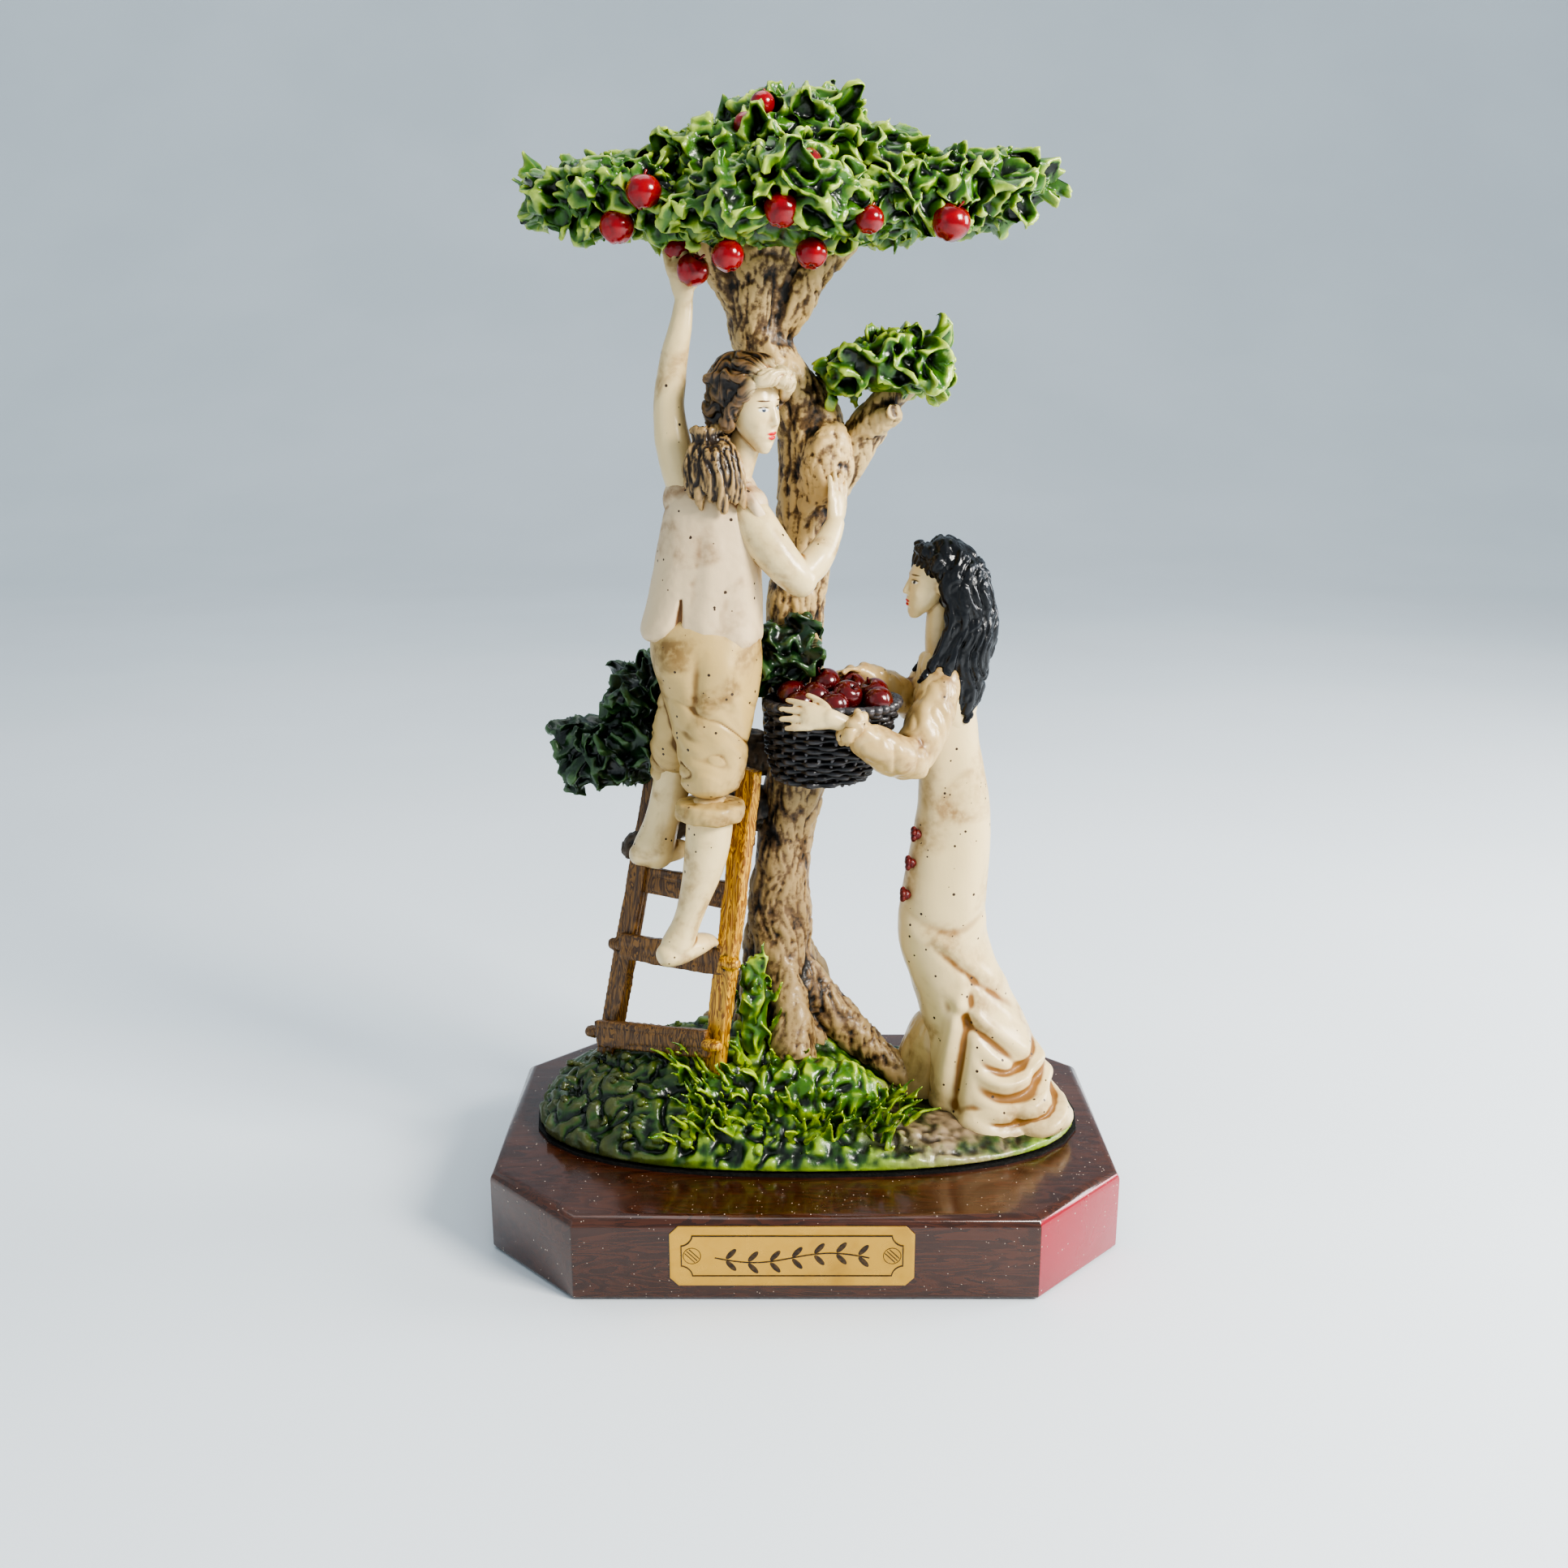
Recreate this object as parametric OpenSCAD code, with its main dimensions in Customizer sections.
// Figurine: two apple pickers at an apple tree, on a chamfered wooden plinth.
// Frame: origin at the centre of the plinth's resting plane, +X to the viewer's right,
// +Y away from the viewer, +Z up. All sizes are in millimetres.

/* [Plinth] */
// Width of the plinth, left to right
plinth_w = 190; // [186:1:200]
// Depth of the plinth, front to back
plinth_d = 130; // [126:1:140]
// Height of the plinth's flat top above the table
plinth_h = 26; // [24:1:28]
// Length cut from each side at the corners
corner_cut = 28; // [20:1:34]
// Radius of the rounded upper edge
edge_r = 10; // [4:1:12]
// Thickness of the felt under the plinth
felt_t = 1; // [0.6:0.1:2]

/* [Nameplate] */
// Width of the foil plate
plate_w = 70; // [40:1:90]
// Height of the foil plate
plate_h = 20; // [10:1:20]
// Thickness of the foil plate
plate_t = 0.4; // [0.2:0.1:1]
// How far the plate sits left of the middle
plate_off = 4; // [0:1:8]

/* [Fixing] */
// Distance between the two screws
screw_gap = 70; // [50:1:80]
// Shank diameter of a screw
screw_d = 4; // [3:0.5:5]
// Head diameter of a screw
screw_head_d = 8; // [7:0.5:10]

/* [Tree] */
// Half width of the mound of grass
mound_rx = 86; // [80:1:88]
// Half depth of the mound of grass
mound_ry = 43; // [38:1:48]
// How far back the trunk stands from the middle
trunk_y = 8; // [5:1:10]
// Radius of an ordinary apple
apple_r = 4.8; // [4:0.1:5.5]

/* [Ladder] */
// Width of a ladder rail's face
rail_w = 6.5; // [5:0.5:8]
// Thickness of a rail
rail_t = 4; // [3:0.5:5]
// Height of a rung
rung_h = 6; // [4:0.5:8]
// Thickness of a rung
rung_t = 3; // [2:0.5:4]

/* [Hidden] */
APPLE_COUNT = 10;
RUNG_COUNT = 4;

SIDES = 12;                      // sides of a modelled limb
UP = [0, 0, 1];
BACK = [0, 1, 0];
rim_lift = 0.3;                  // plinth rim above the table, the felt carries it
felt_inset = 6;                  // felt edge back from the plinth's side
underlay_t = 0.8;                // black sheet between the plinth and the casting
ground_z = plinth_h + underlay_t;
screw_len = 30;
counterbore = 9;                 // depth of the screw head's pocket
hill_h = 30;                     // rise of the mound to the foot of the tree
ladder_near = [[-33, -23, 47], [-12, -6, 143]];
ladder_far = [[-70, 3, 38], [-39, 16, 147]];
ladder_face = unit([-0.55, -0.8, 0.1]);
rung_at = [0.14, 0.4, 0.6, 0.8]; // share of the rail's length below each rung

// ---- Points, rings and skins ----

function unit(v) = v / norm(v);
function mix(a, b, t) = a + (b - a) * t;
function centre(s) = [s[0], s[1], s[2]];
function heading(st, i) =
    unit(centre(st[min(i + 1, len(st) - 1)]) - centre(st[max(i - 1, 0)]));

// An oval ring about c, square to t, with its second radius towards ref
function oval(c, t, ref, rx, ry, n = SIDES, lobes = 0, depth = 0, turn = 0) =
    let (v = unit(ref - (ref * t) * t), u = cross(v, t))
    [for (k = [0:n - 1])
        let (a = 360 * k / n, s = 1 + depth * cos(lobes * a + turn))
        c + u * (rx * s * cos(a)) + v * (ry * s * sin(a))];

// Closed surface through a stack of rings with equal point counts
module skin(rings) {
    n = len(rings[0]);
    last = len(rings) - 1;
    polyhedron(
        points = [for (r = rings) for (p = r) p],
        faces = concat(
            [[for (k = [0:n - 1]) k]],
            [[for (k = [n - 1:-1:0]) last * n + k]],
            [for (j = [0:last - 1]) for (k = [0:n - 1])
                let (a = j * n + k, b = j * n + (k + 1) % n)
                each [[a, a + n, b + n], [a, b + n, b]]]),
        convexity = 6);
}

// Limb through stations [x, y, z, rx, ry], each ring square to the path
module limb(st, ref = BACK, n = SIDES) {
    skin([for (i = [0:len(st) - 1])
        oval(centre(st[i]), heading(st, i), ref, st[i][3], st[i][4], n)]);
}

// Upright body through stations [x, y, z, rx, ry], every ring level
module tower(st, n = SIDES, lobes = 0, depth = 0) {
    way = st[len(st) - 1][2] > st[0][2] ? UP : -UP;
    skin([for (s = st) oval(centre(s), way, BACK, s[3], s[4], n, lobes, depth, 2 * s[2])]);
}

// Lumpy round mass with radii r about c
module clump(c, r, lobes = 5, depth = 0.08, n = 14, rows = 7) {
    skin([for (j = [0:rows])
        let (b = -84 + 168 * j / rows)
        oval(c + UP * (r[2] * sin(b)), UP, BACK, r[0] * cos(b), r[1] * cos(b), n,
            lobes, depth, 47 * j)]);
}

// Flat board from p to q: w across, t thick along face
module board(p, q, face, w, t) {
    along = unit(q - p);
    out = unit(face - (face * along) * along);
    side = cross(out, along);
    skin([for (c = [p, q])
        [for (s = [[-1, -1], [1, -1], [1, 1], [-1, 1]])
            c + side * (s[0] * w / 2) + out * (s[1] * t / 2)]]);
}

// Fruit of radius r about c, with a dimple at each end
module fruit(c, r) {
    translate(c) rotate_extrude($fn = 20)
        polygon(concat([[0, -0.78 * r]],
            [for (a = [-72:24:72]) [r * cos(a), 0.98 * r * sin(a)]],
            [[0, 0.72 * r]]));
}

// ---- Base ----

function base_ring(inset, z) =
    let (x = plinth_w / 2 - inset, y = plinth_d / 2 - inset,
         c = corner_cut - inset * (2 - sqrt(2)))
    [[x, c - y, z], [x, y - c, z], [x - c, y, z], [c - x, y, z],
     [-x, y - c, z], [-x, c - y, z], [c - x, -y, z], [x - c, -y, z]];

module screw_at(x, d_shank, d_head, top) {
    translate([x, 0, felt_t]) cylinder(d = d_head, h = counterbore, $fn = 32);
    translate([x, 0, felt_t]) cylinder(d = d_shank, h = top, $fn = 32);
}

module plinth() {
    color([0.28, 0.09, 0.05]) difference() {
        skin(concat([base_ring(1, rim_lift), base_ring(0, rim_lift + 1)],
            [for (a = [0:15:90])
                base_ring(edge_r * (1 - cos(a)), plinth_h - edge_r * (1 - sin(a)))]));
        skin([base_ring(felt_inset, -1), base_ring(felt_inset, felt_t)]);
        for (s = [-1, 1])
            screw_at(s * screw_gap / 2, screw_d, screw_head_d, plinth_h);
    }
}

module felt_base() {
    color([0.08, 0.2, 0.12])
        skin([base_ring(felt_inset + 0.2, 0), base_ring(felt_inset + 0.2, felt_t)]);
}

module screws() {
    for (s = [-1, 1]) translate([s * screw_gap / 2, 0, 0]) difference() {
        union() {
            translate([0, 0, felt_t + counterbore - 3]) cylinder(d = screw_head_d - 0.4, h = 3, $fn = 32);
            translate([0, 0, felt_t + counterbore - 1]) cylinder(d = screw_d, h = screw_len, $fn = 32);
        }
        for (a = [0, 90]) rotate(a)
            translate([-2.2, -0.5, felt_t]) cube([4.4, 1, counterbore - 1.6]);
    }
}

module fixing_screws() {
    color([0.75, 0.72, 0.6]) screws();
}

module nameplate() {
    clip = 2.5;
    x = plate_w / 2;
    z = plate_h / 2;
    color([0.85, 0.68, 0.35])
        translate([-plate_off, -plinth_d / 2, 5 + z]) rotate([90, 0, 0])
            linear_extrude(plate_t)
                polygon([[clip - x, -z], [x - clip, -z], [x, clip - z], [x, z - clip],
                    [x - clip, z], [clip - x, z], [-x, z - clip], [-x, clip - z]]);
}

// ---- Ground ----

// Ground outline: a squarish oval, share f of the full footprint, drawn in to the tree
function ground_point(f, k, n) =
    let (a = 360 * k / n, e = 0.8,
         cx = sign(cos(a)) * pow(abs(cos(a)), e), cy = sign(sin(a)) * pow(abs(sin(a)), e))
    [1 - 6 * (1 - f) + mound_rx * f * cx, 2 + 6 * (1 - f) + mound_ry * f * cy, cx];

function ground_ring(f, z, n = 28) =
    [for (k = [0:n - 1]) let (p = ground_point(f, k, n)) [p[0], p[1], z]];

// Rising ring: steep at the left and the front, nearly flat at the right
function hill_ring(f, n = 28) =
    [for (k = [0:n - 1])
        let (p = ground_point(f, k, n), flat = (0.3 + 0.5 * p[2]) * min(1, 2.5 * f))
        [p[0], p[1], ground_z + 2 + hill_h * (1 - flat) * pow(1 - f, 0.6)]];

module underlay() {
    color([0.05, 0.05, 0.05]) difference() {
        skin([ground_ring(1.01, plinth_h), ground_ring(1.01, ground_z)]);
        for (s = [-1, 1]) translate([s * screw_gap / 2, 0, plinth_h - 1])
            cylinder(d = screw_d, h = 3, $fn = 32);
    }
}

module ground() {
    shares = [1, 0.97, 0.9, 0.8, 0.66, 0.5, 0.35, 0.2];
    skin(concat([ground_ring(0.98, ground_z)], [for (f = shares) hill_ring(f)]));
}

module mound() {
    color([0.16, 0.32, 0.06]) difference() {
        ground();
        trunk_body();
        screws();
    }
}

module grass_tufts() {
    color([0.5, 0.7, 0.1]) {
        clump([2, -20, 45], [23, 11, 14], 6, 0.14);
        clump([-24, -22, 42], [13, 10, 10], 5, 0.12);
        clump([-16, -14, 72], [5, 7, 16], 4, 0.1);
    }
}

// ---- Tree ----

module trunk_body() {
    tower([[-4, trunk_y + 2, 31, 30, 22], [-5, trunk_y + 1, 42, 23, 17], [-7, trunk_y, 54, 16.5, 14],
        [-8, trunk_y, 72, 12, 11.5], [-7, trunk_y, 99, 9.5, 10], [-6, trunk_y, 118, 9, 10],
        [0, trunk_y, 137, 10, 11], [-3, trunk_y, 160, 10, 10], [-3, trunk_y, 192, 8.5, 9],
        [2, trunk_y, 221, 10, 10], [5, trunk_y, 238, 10.5, 10], [-1, trunk_y, 252, 11, 10],
        [-12, trunk_y, 264, 9.5, 9], [-14, trunk_y, 274, 8.5, 8.5], [-13, trunk_y, 286, 13, 11],
        [-11, trunk_y, 300, 17, 13]], 16, 5, 0.06);
    limb([[-6, 7, 84, 6, 6], [2, 6, 68, 7, 7], [13, 5, 56, 7.5, 7], [25, 3, 46, 6.5, 6], [37, 1, 38, 4, 4]]);
}

module trunk() {
    color([0.72, 0.62, 0.45]) trunk_body();
}

module limb_stub() {
    color([0.72, 0.62, 0.45]) difference() {
        limb([[4, 7, 224, 9, 8], [12, 6, 234, 7, 7], [19, 5, 243, 6, 6], [24, 4, 250, 5.5, 5.5],
            [26, 4, 254, 4, 4]]);
        trunk_body();
    }
}

module branch_left() {
    color([0.3, 0.22, 0.14]) difference() {
        limb([[-2, 9, 140, 8, 8], [-18, 11, 146, 6.5, 6], [-36, 12, 148, 5, 5], [-52, 12, 148, 3.5, 3.5]]);
        trunk_body();
    }
}

module branch_low() {
    color([0.3, 0.22, 0.14]) difference() {
        limb([[-8, 9, 126, 8, 8], [-28, 11, 124, 7, 7], [-42, 11, 120, 6, 7], [-57, 11, 111, 4, 6]]);
        trunk_body();
    }
}

CROWN_TOP = [[-6, 0, 317], [34, 28, 16.5]];

module crown_piece(c, r, lobes) {
    color([0.25, 0.42, 0.08]) difference() {
        clump(c, r, lobes, 0.07, 16, 6);
        clump(CROWN_TOP[0], CROWN_TOP[1], 6, 0.07, 16, 6);
    }
}

module crown_top() {
    color([0.3, 0.5, 0.1]) difference() {
        clump(CROWN_TOP[0], CROWN_TOP[1], 6, 0.07, 16, 6);
        trunk_body();
    }
}

module crown_left() {
    crown_piece([-43, -1, 307], [28, 27, 12], 5);
}

module crown_right() {
    crown_piece([34, 2, 308], [28, 25, 12], 5);
}

module crown_front() {
    crown_piece([-7, -22, 303], [30, 17, 12], 6);
}

module crown_back() {
    crown_piece([-5, 24, 305], [38, 18, 13], 6);
}

module tuft_right() {
    color([0.35, 0.55, 0.1]) clump([25, 1, 261], [18, 15, 10], 5, 0.1);
}

module tuft_left_upper() {
    color([0.1, 0.22, 0.06]) clump([-47, 13, 163], [13, 12, 10], 5, 0.1);
}

module tuft_left_lower() {
    color([0.12, 0.28, 0.06]) clump([-56, 12, 145], [18, 14, 10], 5, 0.1);
}

module tuft_centre() {
    color([0.12, 0.28, 0.06]) clump([-5, -4, 177], [11, 8, 11], 4, 0.1);
}

// Apples on the tree: centre and size against apple_r
APPLES = [[-43, -27, 304, 1], [-51, -20, 296, 1], [-1, -31, 310, 1], [-7, -35, 299, 1],
    [-16, -18, 321, 0.85], [-12, -16, 327, 0.7], [-21, -30, 288, 0.9], [1, -24, 289, 0.9],
    [16, -30, 297, 0.8], [38, -22, 297, 1.1]];

module apple(i) {
    color([0.7, 0.02, 0.02]) fruit(centre(APPLES[i]), apple_r * APPLES[i][3]);
}

module picked_apples() {
    color([0.7, 0.02, 0.02]) {
        fruit([-31, -18, 285], 4.5);
        fruit([-35, -10, 291], 4.5);
    }
}

// ---- Ladder ----

module rung_board(i) {
    board(mix(ladder_far[0], ladder_far[1], rung_at[i]),
        mix(ladder_near[0], ladder_near[1], rung_at[i]), ladder_face, rung_h, rung_t);
}

module rail_board(ends) {
    board(ends[0], ends[1], ladder_face, rail_w, rail_t);
}

module ladder_rail_near() {
    color([0.7, 0.46, 0.12]) difference() {
        rail_board(ladder_near);
        ground();
    }
}

module ladder_rail_far() {
    color([0.5, 0.32, 0.12]) difference() {
        rail_board(ladder_far);
        ground();
    }
}

module ladder_rung(i) {
    color([0.5, 0.32, 0.12]) difference() {
        rung_board(i);
        rail_board(ladder_near);
        rail_board(ladder_far);
    }
}

// ---- Climber ----

VEST = [[-29, -17, 183, 18, 13], [-29, -17, 192, 17, 12.5], [-27.5, -18, 204, 16, 12],
    [-26, -18, 216, 15.5, 11], [-25, -18, 225, 14.5, 9], [-24, -18, 231, 8, 6.5]];
CLIMBER_HEAD = [[-19, -18, 229, 5, 5], [-17, -19, 236, 5, 5.5], [-14, -20, 240, 6.5, 6.5],
    [-13.5, -20, 246, 8, 7.5], [-13.5, -20, 252, 8.5, 8], [-14, -20, 257, 6.5, 6.5],
    [-15, -20, 260, 3, 3]];
TROUSERS = [[-29, -17, 192, 16, 12], [-29, -17, 183, 17, 13.5], [-28, -17, 172, 15.5, 13],
    [-27, -18, 162, 12.5, 11], [-27, -20, 150, 9.5, 9.5], [-28, -21, 137, 9, 9]];
LEG_NEAR = [[-28, -21, 138, 7.5, 7.5], [-29, -21, 126, 7, 7], [-32, -22, 112, 5, 5.5],
    [-35, -22, 101, 4, 4.5], [-38, -23, 94, 5, 6], [-40, -25, 89, 7, 8], [-40.5, -26, 87.5, 6, 7]];

module climber_vest() {
    color([0.86, 0.78, 0.62]) tower(VEST, 16);
}

module climber_head() {
    color([0.9, 0.82, 0.64]) difference() {
        tower(CLIMBER_HEAD);
        tower(VEST, 16);
    }
}

module climber_hair() {
    color([0.3, 0.18, 0.09]) difference() {
        clump([-17, -18, 252], [12.5, 10, 11.5], 7, 0.04);
        tower(CLIMBER_HEAD);
    }
}

module climber_ponytail() {
    color([0.35, 0.22, 0.12]) difference() {
        limb([[-25, -20, 246, 3, 3], [-28, -25, 238, 4, 4], [-28, -29, 230, 5.5, 4.5],
            [-27, -31, 223, 5, 3.5], [-26, -31, 217, 2.5, 2]]);
        tower(VEST, 16);
    }
}

module climber_arm_raised() {
    color([0.9, 0.82, 0.64]) difference() {
        limb([[-31, -16, 224, 6, 6], [-36.5, -15, 235, 5.5, 5.5], [-38.5, -14, 250, 4.8, 4.8],
            [-36.5, -14, 264, 4.2, 4.2], [-33.5, -14, 277, 2.8, 2.8], [-35.5, -14, 284, 4.5, 3],
            [-36, -13, 291, 4, 2.5]]);
        tower(VEST, 16);
        picked_apples();
    }
}

module climber_arm_bent() {
    color([0.9, 0.82, 0.64]) difference() {
        union() {
            limb([[-17, -22, 221, 6.5, 6.5], [-11, -24, 213, 6.5, 6.5], [-5, -25, 205, 5.5, 6],
                [1, -24, 201, 4, 4]]);
            limb([[-4, -25, 202, 5.5, 5], [2, -22, 205, 5, 4.5], [6, -16, 212, 4, 3.5],
                [9, -10, 218, 3.5, 3], [10, -6, 225, 3, 2.5]]);
        }
        tower(VEST, 16);
        trunk_body();
    }
}

module climber_trousers() {
    color([0.78, 0.68, 0.46]) difference() {
        union() {
            tower(TROUSERS, 14);
            limb([[-31, -13, 168, 9, 9], [-36, -9, 154, 9, 8], [-40, -7, 141, 7, 7]]);
        }
        tower(VEST, 16);
        tower(LEG_NEAR);
    }
}

module climber_cuff() {
    color([0.72, 0.6, 0.36]) difference() {
        tower([[-28, -21, 131, 9.5, 9.5], [-28, -21, 132, 10, 10], [-28, -21, 136, 10, 10],
            [-28, -21, 137, 9.5, 9.5]]);
        tower(LEG_NEAR);
        tower(TROUSERS, 14);
    }
}

module climber_leg_near() {
    color([0.88, 0.78, 0.58]) tower(LEG_NEAR);
}

module climber_leg_far() {
    color([0.84, 0.72, 0.52]) difference() {
        tower([[-39, -8, 150, 6, 6], [-40, -7, 141, 6, 6], [-42, -6, 132, 5.5, 6], [-44, -6, 124, 6, 7],
            [-45, -7, 117, 8, 9], [-45, -8, 114.5, 7, 8]]);
        climber_trousers();
    }
}

// ---- Gatherer ----

SKIRT = [[62, -4, ground_z + 2, 22, 20], [62, -4, 36, 21.5, 20], [58.5, -2, 48, 18, 16],
    [53, -1, 64, 15.5, 13.5], [44.5, 0, 80, 15, 12.5], [42.7, 0, 92, 13.8, 12],
    [43.7, 0, 105, 13.6, 12], [45.2, 0, 118, 12.5, 11], [46.3, 0, 131, 11.6, 9.5],
    [44.5, 0, 144, 10.5, 8.5], [42.5, 0, 152, 9, 8]];
BODICE = [[42.5, 0, 152, 9, 8], [42.5, 0, 160, 9.5, 9.5], [42.5, 0, 168, 9, 10.5],
    [40.5, 0, 174, 6.5, 8], [38.5, 0, 178, 3.8, 3.8]];
GATHERER_HEAD = [[39, 0, 177, 3.6, 3.6], [38, 0, 186, 4.2, 5], [38, 0, 190, 6.5, 6.5],
    [38.5, 0, 196, 8, 7.5], [39, 0, 202, 8.5, 8], [39, 0, 207, 6, 6]];
BASKET = [[4, -11, 140, 10, 8], [4.5, -11, 142, 13, 10], [6, -11, 151, 17, 13],
    [7.5, -11, 161, 18.5, 14.5], [8, -11, 165, 19, 15]];

module dress_skirt() {
    color([0.9, 0.84, 0.68]) difference() {
        tower(SKIRT, 16);
        ground();
    }
}

module dress_bodice() {
    color([0.86, 0.78, 0.6]) tower(BODICE);
}

module underskirt() {
    color([0.8, 0.7, 0.5]) difference() {
        tower([[34, 6, ground_z + 2, 12, 11], [36, 5, 40, 9, 10], [40, 3, 56, 7, 9], [43, 2, 66, 5, 7]]);
        tower(SKIRT, 16);
        ground();
    }
}

module dress_roses() {
    color([0.5, 0.08, 0.06]) for (p = [[34, -5.5, 122], [32.5, -6.5, 113], [31, -7, 103]])
        translate(p) sphere(r = 1.9, $fn = 24);
}

module gatherer_head() {
    color([0.9, 0.82, 0.64]) difference() {
        tower(GATHERER_HEAD);
        tower(BODICE);
    }
}

module gatherer_hair() {
    color([0.04, 0.04, 0.06]) difference() {
        tower([[47, -4, 158, 2.5, 3], [48.5, -2, 166, 5, 6], [50, 0, 176, 7.5, 8.5], [48.5, 0, 188, 10, 10],
            [45.5, 0, 199, 12, 11], [42.5, 0, 207, 10.5, 9], [41, 0, 212, 5, 5]], 14, 5, 0.05);
        tower(GATHERER_HEAD);
        tower(BODICE);
    }
}

module sleeve_near() {
    color([0.82, 0.72, 0.5]) difference() {
        union() {
            limb([[41, -7, 171, 6, 5], [38, -12, 163, 7, 6.5], [34, -17, 154, 7.5, 7],
                [29.5, -21, 147.5, 6, 6], [27, -23, 144.5, 3, 3]]);
            limb([[32, -21, 149, 6, 6], [26, -25, 151, 7, 6.5], [19, -28, 155.5, 6.5, 6.5],
                [14, -29, 159.5, 4.5, 4.5]], UP);
        }
        tower(BODICE);
        tower(SKIRT, 16);
        tower(BASKET, 16);
    }
}

module cuff_near() {
    color([0.86, 0.78, 0.6]) difference() {
        limb([[14.6, -29, 159, 4.4, 4.4], [13.4, -29, 160.2, 6, 6], [11.6, -29, 161.6, 6, 6],
            [10.6, -29, 162.4, 4, 4]], UP);
        sleeve_near();
    }
}

module hand_near() {
    color([0.9, 0.82, 0.64]) difference() {
        limb([[11, -29, 162, 2.6, 2.6], [6, -30, 164, 3, 3.5], [0, -30, 165, 2.6, 4.2],
            [-6, -27, 165.5, 1.6, 3]], UP);
        tower(BASKET, 16);
        cuff_near();
    }
}

module sleeve_far() {
    color([0.82, 0.72, 0.5]) difference() {
        union() {
            limb([[42, 8, 170, 6, 6], [37, 12, 163, 7, 7], [31, 11, 160, 6.5, 6.5]]);
            limb([[33, 11, 160, 6, 6], [27, 8, 163, 6.5, 6], [21, 4, 168, 4.5, 4.5], [17, 1, 171, 3, 3]], UP);
        }
        tower(BODICE);
        tower(BASKET, 16);
        tower(SKIRT, 16);
    }
}

module basket() {
    color([0.1, 0.09, 0.09]) difference() {
        tower(BASKET, 16);
        trunk_body();
    }
}

module basket_fruit() {
    heap = [[-4, -13, 167, 4.6], [3, -18, 167.5, 4.6], [12, -18, 168, 4.6], [20, -12, 167.5, 4.6],
        [14, -4, 167.5, 4.6], [6, -10, 170, 4.6]];
    color([0.35, 0.06, 0.04]) difference() {
        for (p = heap) fruit(centre(p), p[3]);
        tower(BASKET, 16);
    }
}

// ---- Draw ----

plinth();
felt_base();
fixing_screws();
nameplate();
underlay();
mound();
grass_tufts();
trunk();
limb_stub();
branch_left();
branch_low();
crown_top();
crown_left();
crown_right();
crown_front();
crown_back();
tuft_right();
tuft_left_upper();
tuft_left_lower();
tuft_centre();
for (i = [1:APPLE_COUNT])
    apple(i - 1);
picked_apples();
ladder_rail_near();
ladder_rail_far();
for (i = [1:RUNG_COUNT])
    ladder_rung(i - 1);
climber_vest();
climber_head();
climber_hair();
climber_ponytail();
climber_arm_raised();
climber_arm_bent();
climber_trousers();
climber_cuff();
climber_leg_near();
climber_leg_far();
dress_skirt();
dress_bodice();
underskirt();
dress_roses();
gatherer_head();
gatherer_hair();
sleeve_near();
cuff_near();
hand_near();
sleeve_far();
basket();
basket_fruit();
